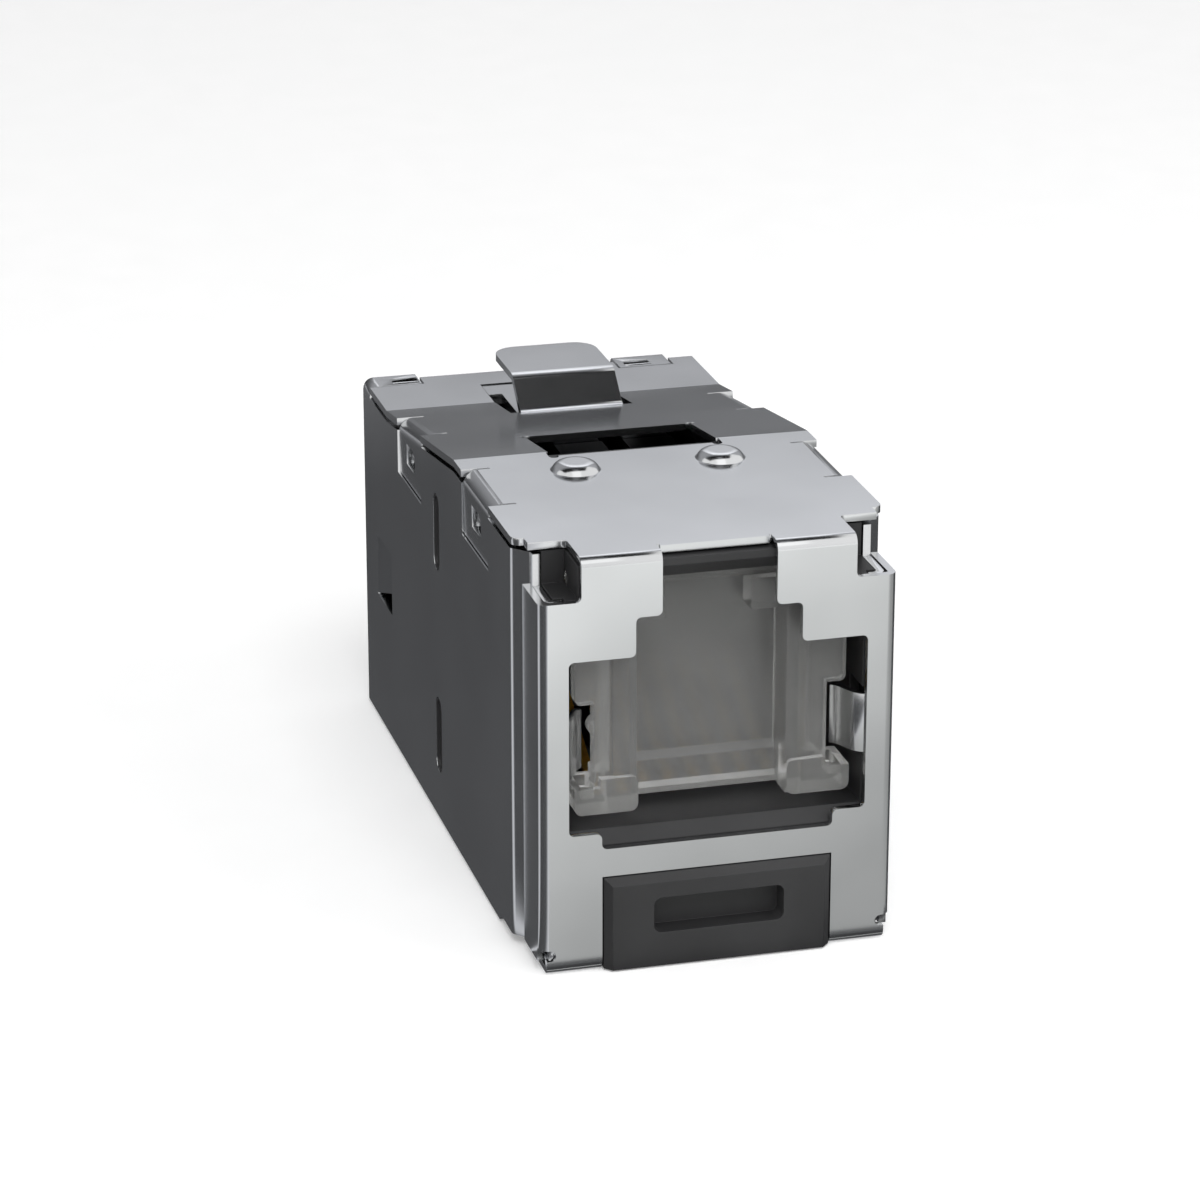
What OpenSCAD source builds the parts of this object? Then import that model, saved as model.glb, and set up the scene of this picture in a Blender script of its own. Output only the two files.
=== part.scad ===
// Shielded keystone jack with a hinged dust shutter

/* [Overall] */
// Width across the side panels
body_w = 14.7; // [14:0.1:16]
// Height from the bottom plate to the front zone of the top plate
body_h = 16.9; // [16:0.1:18.5]
// Depth from the front plate to the back wall
body_d = 30.4; // [29:0.1:36]
// Sheet thickness of both shields
sheet_t = 0.3; // [0.2:0.05:0.35]
// Inside radius of the sheet bends
bend_in = 0.1; // [0.05:0.05:0.2]
// Gap between pieces that nest or sit against each other
fit_gap = 0.05; // [0.03:0.01:0.1]

/* [Plug opening] */
// Width of the front plate beside the main opening
side_land = 1.45; // [1.4:0.05:1.5]
// Height of the main opening
opening_h = 7.1; // [6.8:0.1:7.3]
// Height of the opening's lower edge above the bottom plate
opening_z = 5.7; // [5.4:0.1:6]
// Width of the first step above the opening
step_w = 6.56; // [6:0.1:7]
// Height of the first step
step_h = 1.58; // [1.2:0.1:1.8]
// Width of the upper slot between the two flaps
slot_w = 4.5; // [4:0.1:5]
// Width of the shallow step under the opening
sill_w = 9.2; // [8:0.1:10]
// Depth of the shallow step under the opening
sill_h = 0.65; // [0.4:0.05:0.8]
// Corner radius of the cut edges
corner_r = 0.22; // [0.1:0.02:0.3]

/* [Front plate] */
// Width across the two flaps
flap_w = 10.8; // [10.4:0.1:11.2]
// Drop from the top plate to the shoulders beside the flaps
shoulder_drop = 1.72; // [1.4:0.1:2]
// Depth of the side returns
return_d = 2.55; // [2:0.05:3]
// Height of the side returns' lower edge
return_z = 0.45; // [0.4:0.05:0.6]
// Height of the corner relief holes
relief_z = 0.8; // [0.7:0.05:0.9]
// Radius of the corner relief holes
relief_r = 0.22; // [0.15:0.01:0.25]

/* [Key bar] */
// Width of the key bar
key_w = 9.08; // [8:0.1:10]
// Height of the key bar's upper edge
key_h = 3.86; // [3.4:0.05:4.2]
// Length that the key bar stands out of the front plate
key_proud = 0.3; // [0.2:0.05:0.6]
// Chamfer around the key bar
key_chamfer = 0.3; // [0.1:0.05:0.4]
// Width of the slot in the key bar
key_slot_w = 5.2; // [4:0.1:6]
// Height of the slot in the key bar
key_slot_h = 1.45; // [1:0.05:1.8]
// Height of the slot's centre
key_slot_z = 2.18; // [1.9:0.05:2.5]
// Depth of the slot
key_slot_d = 0.9; // [0.4:0.1:1.5]

/* [Top plate] */
// Depth of the level front zone
flat_d = 12.6; // [11.9:0.1:13]
// Depth of the level rear zone, up to the back wall
rear_flat = 5.2; // [4.6:0.1:5.6]
// Drop over the sloping zone
slope_drop = 1.87; // [1.4:0.05:2.2]
// Distance from the rear edge of the plate to the back wall's outer face
rear_inset = 0.9; // [0.6:0.05:1.2]
// Front edge of the plate beside the flaps
ear_y = 2.3; // [2:0.1:2.5]
// Front edge of the plate at its outer corners
ear_step_y = 2.9; // [2.7:0.1:3.4]
// Corner radius of the plate at its front corners
ear_r = 0.35; // [0.2:0.05:0.4]
// Front edge of the plate between the flaps
slot_y = 0.75; // [0.6:0.05:0.9]
// Width of the relief slits beside the flaps
flap_slit = 0.1; // [0.06:0.01:0.14]
// Distance of the dimples from the middle
dimple_x = 2.97; // [2.4:0.05:4]
// Distance of the dimples from the front
dimple_y = 10.2; // [9.5:0.1:10.6]
// Diameter of a dimple
dimple_d = 2.06; // [1.6:0.02:2.3]
// Height of a dimple
dimple_h = 0.36; // [0.3:0.02:0.5]
// Width of the window
window_w = 7; // [6:0.1:8]
// Length of the window
window_d = 4.35; // [3.5:0.05:5]
// Width of the tongue bent down at the window
tongue_w = 6.38; // [5:0.1:6.6]
// Drop of the tongue below the plate
tongue_h = 1.3; // [0.9:0.1:1.5]
// Width of the relief slots and holes at the window's corners
window_relief = 0.4; // [0.3:0.05:0.5]

/* [Snap tabs] */
// Length of a snap tab
tab_l = 4.25; // [3.6:0.05:4.6]
// Drop of a snap tab below the plate
tab_h = 2.63; // [2.3:0.01:2.8]
// Outer radius of a tab's bend
tab_bend = 0.6; // [0.45:0.05:0.7]
// Distance of a tab's upper end inside the side panel's face
tab_sink = 0.04; // [0.02:0.01:0.08]
// Further distance of its lower end
tab_lean = 0.08; // [0.04:0.01:0.15]
// Distance of the front tabs from the front
tab_front_y = 9.05; // [8.6:0.05:9.3]
// Distance of the rear tabs from the back
tab_back = 9.5; // [9:0.1:10]
// Gap between a tab and its pocket
tab_slit = 0.08; // [0.06:0.01:0.12]
// Length of the slits that run into the plate beside a tab
tab_cut = 0.5; // [0.3:0.05:0.7]
// Length of the catch window in a tab
tab_win_l = 1.5; // [1.3:0.05:1.8]
// Height of the catch window in a tab
tab_win_h = 0.9; // [0.8:0.05:1.1]
// Drop of the catch window's centre below the plate
tab_win_z = 1.41; // [1.3:0.01:1.5]

/* [Latch tab] */
// Width of the latch tab
latch_w = 4.44; // [4:0.05:5]
// Distance of its root from the back
latch_back = 8.1; // [7.6:0.1:8.4]
// Length of the rising part along the depth
latch_run = 1.45; // [1:0.05:1.8]
// Length of the finger flap
latch_l = 3.8; // [3.2:0.05:4.2]
// Height of the flap below the front zone of the plate
latch_sink = 0.2; // [0.1:0.02:0.5]
// Corner radius of the flap
latch_r = 1; // [0.6:0.1:1.4]
// Width of the cut-out around the latch tab
latch_cut_w = 5.3; // [5.1:0.02:5.8]
// Length of the cut-out behind the root
latch_cut_l = 5.5; // [5.2:0.05:5.8]
// Bend radius of the latch tab
latch_bend = 0.6; // [0.4:0.05:0.7]
// Width of the rest under the latch tab
rest_w = 4.04; // [3.4:0.02:4.4]
// Length of the rest's wide rear part
rest_l = 1.35; // [1:0.05:1.8]

/* [Side panels] */
// Height of the panels' lower edge
panel_z = 0.1; // [0.05:0.05:0.2]
// Length of the raised lower edge at the front
panel_step_d = 5.4; // [4.5:0.1:6]
// Gap between the panels' upper edge and the top plate
rim_gap = 0.2; // [0.12:0.01:0.25]
// Distance of the long slots from the front
side_slot_y = 15.9; // [15:0.1:17]
// Width of the long slots
side_slot_w = 1.05; // [0.8:0.05:1.3]
// Length of the long slots
side_slot_l = 3.3; // [2.8:0.1:3.8]
// Height of the lower slot's centre
side_slot_low = 3.85; // [3.4:0.05:4.4]
// Distance of the upper slot's centre below the top plate
side_slot_drop = 4.15; // [4:0.05:4.9]
// Gap around the terminal block's studs in the long slots
stud_gap = 0.02; // [0.02:0.01:0.08]
// Rim of a stud
stud_rim = 0.1; // [0.06:0.01:0.15]
// Depth of a stud's hollow face
stud_hollow = 0.13; // [0.08:0.01:0.2]
// Distance of the lanced tongues' roots from the back
lance_back = 2.8; // [2.2:0.1:3.4]
// Length of the cut around a lanced tongue
lance_l = 2.85; // [2.4:0.05:3.2]
// Height of the cut around a lanced tongue
lance_h = 2.75; // [2.2:0.05:3]
// Height of the cut's centre
lance_z = 7.3; // [6.5:0.1:8]
// Angle by which a lanced tongue is bent inwards
lance_a = 9; // [5:1:12]
// Rise of its lower edge towards the free end
lance_rise = 0.9; // [0.6:0.05:1.2]
// Height of a ground finger
finger_h = 2.4; // [2:0.1:2.6]
// Height of the ground fingers' lower edge
finger_z = 7.8; // [7.7:0.05:7.9]
// Length that a finger stands into the opening
finger_in = 0.86; // [0.8:0.02:0.9]
// Width of the rear top tabs
back_tab_w = 2.3; // [2:0.1:2.6]
// Length by which the rear top tabs reach into the top plate
back_tab_lap = 0.85; // [0.7:0.05:1]
// Distance of the right tab from the side panel's face
back_tab_in = 1.2; // [1:0.1:1.5]
// Outer radius of the left tab's bend
back_bend = 0.45; // [0.4:0.05:0.7]
// Length of the holes in the rear top tabs
back_hole_l = 1.15; // [0.9:0.05:1.3]
// Diameter of the bars across these holes
back_bar_d = 0.26; // [0.2:0.02:0.28]

/* [Shutter] */
// Distance of the hinge axis from the front
hinge_y = 2.3; // [2.2:0.05:2.4]
// Distance of the hinge axis below the top plate
hinge_drop = 1.55; // [1.5:0.05:1.7]
// Diameter of the hinge barrel
barrel_d = 1; // [0.9:0.05:1.1]
// Diameter of the end pins
pin_d = 0.6; // [0.5:0.05:0.65]
// Running gap of the pins in their bearings
pin_gap = 0.04; // [0.03:0.01:0.06]
// Thickness of the bearing ears
ear_t = 0.4; // [0.3:0.05:0.45]
// Distance of the ears' inner face inside the wings' edge
ear_set = 0.33; // [0.28:0.01:0.4]
// Height of the lintel's lower edge above the hinge axis
lintel_up = 0.25; // [0.2:0.05:0.4]
// Gap between the barrel and the lintel
lintel_gap = 0.4; // [0.3:0.05:0.6]
// Chamfer along the lintel's lower front edge
lintel_chamfer = 0.6; // [0.4:0.05:0.7]
// Gap between the shutter's lower edge and the opening's lower edge
shutter_lift = 0.5; // [0.45:0.05:0.6]
// Gap between the upper wings and the opening's side
wing_in = 0.52; // [0.45:0.01:0.6]
// Gap between the narrow lower part and the opening's side
waist_in = 1.28; // [1.2:0.02:1.4]
// Height of the wings' lower edge
wing_z = 10.6; // [10.5:0.05:11]
// Corner radius of the wings
wing_r = 0.25; // [0.15:0.05:0.4]
// Distance of the recess between the two posts from the opening's side
recess_in = 2.93; // [2.8:0.01:3]
// Width of a post
post_w = 0.95; // [0.8:0.05:1.1]
// Distance of the posts' front face from the front plate's face
post_y = 1; // [0.9:0.05:1.2]
// Distance of the flanges' front face behind the posts' front face
flange_set = 0.07; // [0.05:0.01:0.15]
// Thickness of the flanges beside the posts
flange_t = 0.65; // [0.5:0.05:0.7]
// Radius of the nub on the left flange
nub_r = 0.42; // [0.3:0.02:0.45]
// Height of the nub
nub_z = 9.6; // [9.2:0.05:9.8]
// Length that the nub stands out of the flange's edge
nub_out = 0.2; // [0.14:0.02:0.22]
// Drop of the wings' upper edge below the hinge axis
wing_drop = 0.9; // [0.85:0.05:1.1]
// Width of the upper corner lugs
lug_w = 1.25; // [1:0.05:1.5]
// Height of the upper corner lugs
lug_h = 1.25; // [1:0.05:1.5]
// Distance of the lugs' front face behind the posts' front face
lug_set = 0.6; // [0.4:0.05:0.8]
// Thickness of the middle panel
web_t = 0.56; // [0.52:0.02:0.64]
// Distance of the middle panel's back face behind the hinge axis
web_back = 1; // [0.9:0.05:1.05]
// Gap between the feet and the opening's side
feet_in = 0.42; // [0.35:0.01:0.6]
// Height of a foot
foot_h = 1.42; // [1.2:0.02:1.5]
// Drop of a foot's outer part below its inner part
foot_drop = 0.38; // [0.3:0.02:0.5]
// Distance of the feet from the front plate's face
foot_y = 0.75; // [0.7:0.05:0.9]
// Depth of a foot
foot_d = 1.9; // [1.6:0.1:2.2]
// Wall of the hollow in a foot
foot_wall = 0.3; // [0.2:0.05:0.4]
// Corner radius of a foot
foot_r = 0.3; // [0.15:0.05:0.35]
// Thickness that the panel gains between the feet
sill_t = 0.28; // [0.2:0.02:0.4]
// Length that the panel's lower lip stands out
lip_t = 0.16; // [0.1:0.02:0.2]
// Wire of the closing spring
spring_wire = 0.2; // [0.16:0.01:0.22]

/* [Contacts] */
// Pitch of the contacts
pitch = 1.016; // [0.95:0.002:1.06]
// Width of a contact
contact_w = 0.36; // [0.3:0.02:0.42]
// Thickness of a contact
contact_t = 0.25; // [0.2:0.01:0.28]
// Height of the contacts' lower run
contact_z = 4.65; // [4.5:0.05:4.7]
// Rise angle of the contact arms
contact_a = 28; // [25:1:29]
// Depth at which the contact arms end
contact_end_y = 11.2; // [10:0.1:11.4]
// Distance of the contact bed from the front
contact_bed = 5; // [4.8:0.1:5.2]
// Depth of the cavity's back wall
cavity_d = 13; // [12.8:0.1:13.4]

/* [Rear] */
// Thickness of the circuit board
board_t = 0.8; // [0.6:0.1:1]
// Depth of the terminal block
block_d = 6.2; // [5.5:0.1:6.6]
// Wall beside the outer terminals
idc_wall = 0.75; // [0.5:0.05:1]
// Distance of each row of terminals from the block's lower or upper face
row_inset = 2.05; // [1.9:0.05:2.3]
// Width of a terminal blade
idc_w = 2; // [1.6:0.1:2.2]
// Thickness of a terminal blade
idc_t = 0.4; // [0.3:0.05:0.5]
// Length of a terminal blade
idc_l = 5; // [4.4:0.1:5.4]
// Diameter of the cable bore
cable_d = 7.5; // [6:0.1:8]
// Thickness of the cap in front of the cable bore
cap_floor = 2.4; // [2:0.1:3]
// Height of the cable bore's axis
cable_z = 7.3; // [7:0.1:7.6]

/* [Hidden] */
$fn = 48;

over = 5;
bend_r = bend_in + sheet_t;
bend_m = bend_in + sheet_t / 2;
panel_x = body_w / 2;
lap_x = panel_x - sheet_t;
joggle_x = lap_x - sheet_t - fit_gap;
inner_x = panel_x - sheet_t - fit_gap;
core_x = joggle_x - sheet_t - fit_gap;
tab_x = panel_x - tab_sink;
tab_edge = tab_x - tab_bend;
pocket_x = tab_x - tab_lean - sheet_t - fit_gap;
shoulder_z = body_h - shoulder_drop;
opening_w = body_w - 2 * side_land;
slope_y = body_d - rear_flat;
slope_d = slope_y - flat_d;
tab_rear_y = body_d - tab_back;
latch_y = body_d - latch_back;
latch_cut_y = latch_y + latch_cut_l;
lance_y = body_d - lance_back;
side_slot_high = body_h - side_slot_drop;
slope_a = atan(slope_drop / slope_d);
rear_z = body_h - slope_drop;
top_d = body_d - rear_inset;
back_tab_y = top_d - back_tab_lap;
back_left_x = -panel_x;
back_right_x = panel_x - back_tab_in - back_tab_w;
roof_z = body_h - sheet_t - fit_gap;
under_z = rear_z - sheet_t - fit_gap;
floor_z = opening_z - 0.1;
base_z = sheet_t + fit_gap;
hinge_z = body_h - hinge_drop;
foot_z = opening_z + shutter_lift;
finger_x = opening_w / 2 - finger_in;
wing_w = opening_w - 2 * wing_in;
waist_w = opening_w - 2 * waist_in;
recess_w = opening_w - 2 * recess_in;
feet_w = opening_w - 2 * feet_in;
ear_in = wing_w / 2 - ear_set;
coil_r = (barrel_d + spring_wire) / 2 + fit_gap;
coil_n = 4;
coil_w = coil_n * spring_wire;
coil_x = (recess_w / 2 + post_w + ear_in) / 2;
lintel_z = hinge_z + lintel_up;
lintel_d = hinge_y - barrel_d / 2 - lintel_gap;
window_y = flat_d - 0.55;
latch_z = body_h - latch_sink;
face_y = sheet_t + fit_gap;
flange_y = face_y + sheet_t / 2;
jog_y = return_d + 0.15;
web_y = hinge_y + web_back;
housing_d = cavity_d + 1.2;
board_y = housing_d + fit_gap;
block_y = board_y + board_t + fit_gap;
cap_y = block_y + block_d + fit_gap;
cap_end = body_d - sheet_t - fit_gap;
block_top = under_z - sheet_t - 3 * fit_gap;
block_x = core_x - 2 * fit_gap;
block_z = base_z + 2 * fit_gap;
idc_pitch = (2 * (block_x - idc_wall) - idc_w) / 3;
idc_low = block_z + row_inset;
idc_high = block_top - row_inset;
bed_z = contact_z - contact_t / 2 - 0.6;
bed_w = 7 * pitch + contact_w + 1.2;
seat_y = -(body_d - key_proud) / 2;

steel = [0.76, 0.77, 0.78];
black = [0.16, 0.16, 0.17];
frost = [0.66, 0.67, 0.68];
gold = [0.78, 0.6, 0.2];
tin = [0.7, 0.7, 0.68];
board = [0.1, 0.32, 0.18];

function unit(v) = v / norm(v);
function heading(v) = atan2(v[1], v[0]);
function wrap(a) = a > 180 ? a - 360 : a < -180 ? a + 360 : a;
function side_of(a) = [-sin(a), cos(a)];
function pick(r, i) = is_list(r) ? r[i] : r;

// Points of one side of a bent strip at vertex i, at distance s to the left of its middle line
function bend_points(p, i, r, s, n = 6) =
    let (a = heading(p[i] - p[i - 1]),
        turn = wrap(heading(p[i + 1] - p[i]) - a),
        k = turn > 0 ? 1 : -1,
        from = p[i] - unit(p[i] - p[i - 1]) * r * tan(abs(turn) / 2),
        c = from + k * r * side_of(a))
    [for (j = [0 : n]) c - k * (r - k * s) * side_of(a + turn * j / n)];

function strip_side(p, r, s) =
    let (m = len(p) - 1)
    concat([p[0] + s * side_of(heading(p[1] - p[0]))],
        [for (i = [1 : 1 : m - 1]) for (q = bend_points(p, i, pick(r, i - 1), s)) q],
        [p[m] + s * side_of(heading(p[m] - p[m - 1]))]);

function reversed(l) = [for (i = [len(l) - 1 : -1 : 0]) l[i]];
function mirrored(l) = [for (q = l) [-q[0], q[1]]];

// Height of the top plate at depth y
function top_z(y) = y < flat_d ? body_h : y < slope_y ? body_h - (y - flat_d) * slope_drop / slope_d : rear_z;

// Flat strip of thickness t folded along the points p with bend radius r on its middle line
module strip(p, t, r) polygon(concat(strip_side(p, r, t / 2), reversed(strip_side(p, r, -t / 2))));

// Profile in depth and height, drawn across the width
module across(w) rotate([90, 0, 90]) linear_extrude(w, center = true) children();

// Profile in width and height, drawn back from depth y
module back_from(y, d) translate([0, y + d, 0]) rotate([90, 0, 0]) linear_extrude(d) children();

// Pair of pieces on both sides
module both() {
    children();
    mirror([1, 0, 0]) children();
}

// Local frame on the upper face of the top plate at depth y
module on_top(y) translate([0, y, top_z(y)])
    rotate([y > flat_d && y < slope_y ? -slope_a : 0, 0, 0]) children();

// Box between two corners
module span(a, b) translate(a) cube(b - a);

// Rectangle between two corners with round corners
module round_rect(a, b, r) {
    translate([a[0] + r, a[1]]) square([b[0] - a[0] - 2 * r, b[1] - a[1]]);
    translate([a[0], a[1] + r]) square([b[0] - a[0], b[1] - a[1] - 2 * r]);
    for (x = [a[0] + r, b[0] - r], y = [a[1] + r, b[1] - r]) translate([x, y]) circle(r);
}

// Cut that rounds an outer corner of the sheet at p
module round_off(p, r, mx = 0, my = 0) translate(p) mirror([mx, 0, 0]) mirror([0, my, 0]) difference() {
    translate([-r / 4, -r / 4]) square(r * 1.25);
    translate([r, r]) circle(r);
}

// Slot with round ends along the second axis
module stadium(w, l) {
    square([w, l - w], center = true);
    for (s = [-1, 1]) translate([0, s * (l - w) / 2]) circle(d = w);
}

// Stepped plug opening
module plug_outline() {
    top = opening_z + opening_h;
    round_rect([-opening_w / 2, opening_z], [opening_w / 2, top], corner_r);
    round_rect([-sill_w / 2, opening_z - sill_h], [sill_w / 2, top - 1], corner_r);
    round_rect([-step_w / 2, top - 1], [step_w / 2, top + step_h], corner_r);
    translate([-slot_w / 2, top]) square([slot_w, body_h]);
    for (m = [0, 1]) mirror([m, 0]) {
        round_off([step_w / 2, top], corner_r);
        round_off([slot_w / 2, top + step_h], corner_r);
        round_off([sill_w / 2, opening_z], corner_r, 0, 1);
    }
}

// Folded middle line of the cover from its bottom plate over the front to the rear edge
function cover_path() = [[top_d, sheet_t / 2], [sheet_t / 2, sheet_t / 2],
    [sheet_t / 2, body_h - sheet_t / 2], [flat_d, body_h - sheet_t / 2],
    [slope_y, rear_z - sheet_t / 2], [top_d, rear_z - sheet_t / 2]];

module cover_cuts() {
    edge = lap_x - bend_r;
    back_from(-over, over + slot_y) plug_outline();
    both() {
        back_from(-over, over + bend_r)
            round_rect([flap_w / 2, shoulder_z], [body_w, body_h + over], corner_r);
        translate([0, 0, roof_z]) linear_extrude(1) {
            round_rect([flap_w / 2, -over], [body_w, ear_y], corner_r);
            translate([inner_x - 0.1, -over]) square([body_w, over + ear_step_y]);
            round_off([panel_x, ear_step_y], ear_r, 1, 0);
        }
        span([edge, -over, relief_z - relief_r], [body_w, bend_r + 0.5, shoulder_z + 1]);
        span([edge + 0.14, -over, -over], [body_w, panel_step_d, base_z + 1]);
        span([inner_x, -over, -over], [body_w, body_d, base_z + 1]);
        translate([edge, 0, relief_z]) rotate([90, 0, 0]) cylinder(r = relief_r, h = over, center = true);
        for (y = [tab_front_y, tab_rear_y]) on_top(y) {
            span([tab_edge, -tab_l / 2 - tab_slit, -1], [body_w, tab_l / 2 + tab_slit, 1]);
            for (m = [0, 1]) mirror([0, m, 0])
                span([tab_edge - tab_cut, tab_l / 2, -1], [body_w, tab_l / 2 + 2 * tab_slit, 1]);
        }
        translate([0, 0, rear_z]) linear_extrude(body_h) {
            translate([tongue_w / 2 + window_relief / 2, window_y + window_relief / 2])
                stadium(window_relief, 2.1 * window_relief);
            translate([window_w / 2, window_y + window_d]) circle(d = window_relief);
        }
        span([slot_w / 2 - flap_slit, 0, roof_z], [slot_w / 2, slot_y + 2 * flap_slit, body_h + 1]);
    }
    span([-key_w / 2 - fit_gap, -over, -over], [key_w / 2 + fit_gap, ear_y, key_h + fit_gap]);
    span([-window_w / 2, window_y, rear_z], [window_w / 2, window_y + window_d, body_h + 1]);
    span([-latch_cut_w / 2, latch_y - 2 * fit_gap, rear_z - 2], [latch_cut_w / 2, latch_cut_y, body_h + 1]);
    for (x = [back_left_x, back_right_x]) span([x - 2 * fit_gap, back_tab_y - 2 * fit_gap, rear_z - 1],
        [x + back_tab_w + 2 * fit_gap, body_d, rear_z + 1]);
}

module side_return() difference() {
    translate([0, 0, return_z]) linear_extrude(shoulder_z - return_z)
        strip([[lap_x - bend_r - 0.25, sheet_t / 2], [lap_x - sheet_t / 2, sheet_t / 2],
            [lap_x - sheet_t / 2, return_d]], sheet_t, bend_m);
    span([0, -over, -over], [body_w, bend_r + 0.1, relief_z + relief_r]);
}

// Snap tab at depth y, bent down along the plate's edge and cut level at its lower end
module snap_tab(y) difference() {
    m = sheet_t / 2;
    intersection() {
        on_top(y) rotate([90, 0, 0]) linear_extrude(2 * tab_l, center = true)
            strip([[tab_edge - sheet_t, -m], [tab_x - m, -m], [tab_x - m - tab_lean, -1.5 * tab_h]],
                sheet_t, tab_bend - m);
        span([0, y - tab_l / 2, top_z(y) - tab_h], [body_w, y + tab_l / 2, body_h + 1]);
    }
    translate([tab_x, y, top_z(y) - tab_win_z]) cube([4 * sheet_t, tab_win_l, tab_win_h], center = true);
}

module latch_tab() {
    y1 = latch_y + latch_run;
    y2 = y1 + latch_l;
    m = sheet_t / 2;
    difference() {
        across(latch_w) strip([[latch_y - 0.8, top_z(latch_y - 0.8) - m], [latch_y, top_z(latch_y) - m],
            [y1, latch_z - m], [y2, latch_z - m]], sheet_t, latch_bend);
        both() translate([0, 0, latch_z - 2]) linear_extrude(4) round_off([latch_w / 2, y2], latch_r, 1, 1);
    }
}

// Half profile of a pressed round dome of radius r and height h
function dome(r, h, n = 8) =
    let (ball = (r * r + h * h) / (2 * h),
        rim = asin(r / ball))
    concat([[0, -sheet_t / 2]],
        [for (i = [0 : n]) [ball * sin(rim * i / n), h - ball * (1 - cos(rim * i / n))]],
        [[r, -sheet_t / 2]]);

module dimple() translate([dimple_x, dimple_y, body_h])
    rotate_extrude() polygon(dome(dimple_d / 2, dimple_h));

module front_cover() color(steel) {
    difference() {
        across(body_w) strip(cover_path(), sheet_t, bend_m);
        cover_cuts();
    }
    both() {
        side_return();
        for (y = [tab_front_y, tab_rear_y]) snap_tab(y);
        dimple();
    }
    across(tongue_w) strip([[window_y - 0.5, body_h - sheet_t / 2], [window_y + 0.25, body_h - sheet_t / 2],
        [window_y + 0.25, body_h - tongue_h]], sheet_t, bend_m);
    latch_tab();
}

// Plan of one half of the shell: front flange, joggle, side panel, half of the back wall
function shell_half() = [[joggle_x - 0.7, flange_y], [joggle_x - sheet_t / 2, flange_y],
    [joggle_x - sheet_t / 2, jog_y], [panel_x - sheet_t / 2, jog_y + panel_x - joggle_x],
    [panel_x - sheet_t / 2, body_d - sheet_t / 2]];

module under_plate() across(2 * body_w) difference() {
    drop = sheet_t + rim_gap;
    polygon([[-1, panel_z], [-1, body_h - drop], [flat_d, body_h - drop], [slope_y, rear_z - drop],
        [body_d + 1, rear_z - drop], [body_d + 1, panel_z]]);
    translate([-2, -over]) square([panel_step_d + 2, over + base_z + fit_gap]);
}

// Space that the snap tab at depth y needs, grown by g
module tab_space(y, g) span([pocket_x - g, y - tab_l / 2 - tab_slit - g, top_z(y) - tab_h - fit_gap - g],
    [panel_x + over * (sheet_t - g), y + tab_l / 2 + tab_slit + g, body_h]);

// Half profile of a barrel with soft ends, of radius r and length l
function barrel(r, l, n = 4) = concat([[0, -l / 2]],
    [for (i = [1 : n]) [r * sin(90 * i / n), -l / 2 + r * (1 - cos(90 * i / n))]],
    [for (i = [n : -1 : 1]) [r * sin(90 * i / n), l / 2 - r * (1 - cos(90 * i / n))]], [[0, l / 2]]);

module tab_catch(y) translate([pocket_x, y, top_z(y) - tab_win_z]) rotate([90, 0, 0])
    rotate_extrude() polygon(barrel(sheet_t, tab_win_l - 0.4));

module ground_finger() translate([0, 0, finger_z]) linear_extrude(finger_h)
    strip([[joggle_x - sheet_t / 2, flange_y], [finger_x + 0.8, flange_y], [finger_x + 0.22, flange_y + 1.15],
        [finger_x, flange_y + 1.33]], sheet_t * 0.8, [0.7, 0.3]);

// Tongue bent inwards at the rear edge of its cut, with a sloping lower edge
module lance() difference() {
    low = lance_z - lance_h / 2;
    free = lance_l - 2 * fit_gap;
    translate([panel_x - sheet_t / 2, lance_y, low - fit_gap]) linear_extrude(lance_h)
        strip([[0, bend_r], [0, 0], [-free * sin(lance_a), -free * cos(lance_a)]], sheet_t, bend_m);
    across(2 * body_w) polygon([[lance_y, low + fit_gap], [lance_y - lance_l, low + lance_rise],
        [lance_y - lance_l, low - 1], [lance_y, low - 1]]);
}

// Hole in a rear top tab from x on, with a bar across it
module back_hole(x)
    span([x, back_tab_y + sheet_t / 2, rear_z - 1], [x + back_hole_l, top_d + fit_gap, rear_z + 1]);

module back_bar(x) translate([x - fit_gap, (back_tab_y + top_d) / 2, rear_z - sheet_t / 2])
    rotate([0, 90, 0]) cylinder(d = back_bar_d, h = back_hole_l + 2 * fit_gap);

// Left tab, bent over from the side panel
module left_tab() {
    m = sheet_t / 2;
    hole_x = back_left_x + back_tab_w / 2 - fit_gap;
    difference() {
        back_from(back_tab_y, body_d - bend_r - back_tab_y)
            strip([[back_left_x + m, under_z - 1.5], [back_left_x + m, rear_z - m],
                [back_left_x + back_tab_w, rear_z - m]], sheet_t, back_bend - m);
        back_hole(hole_x);
    }
    back_bar(hole_x);
}

// Right tab, bent over from the back wall
module right_tab() {
    m = sheet_t / 2;
    hole_x = back_right_x + sheet_t;
    difference() {
        translate([back_right_x + back_tab_w / 2, 0, 0]) across(back_tab_w)
            strip([[body_d - m, under_z - 1.5], [body_d - m, rear_z - m], [back_tab_y, rear_z - m]],
                sheet_t, bend_m);
        back_hole(hole_x);
    }
    back_bar(hole_x);
}

// Rest under the latch tab: from the back wall below the plate, offset up into the cut-out
module latch_rest() {
    m = sheet_t / 2;
    w = latch_cut_w - 2 * fit_gap;
    lap_y = latch_cut_y - rest_l / 2;
    across(w) strip([[body_d - m, under_z - 1.5], [body_d - m, under_z - m], [lap_y, under_z - m]],
        sheet_t, bend_m);
    difference() {
        span([-w / 2, latch_y + bend_r, under_z - m], [w / 2, latch_cut_y - fit_gap, rear_z - fit_gap]);
        both() span([rest_w / 2, 0, 0], [body_w, latch_cut_y - rest_l, body_h]);
    }
}

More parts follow.
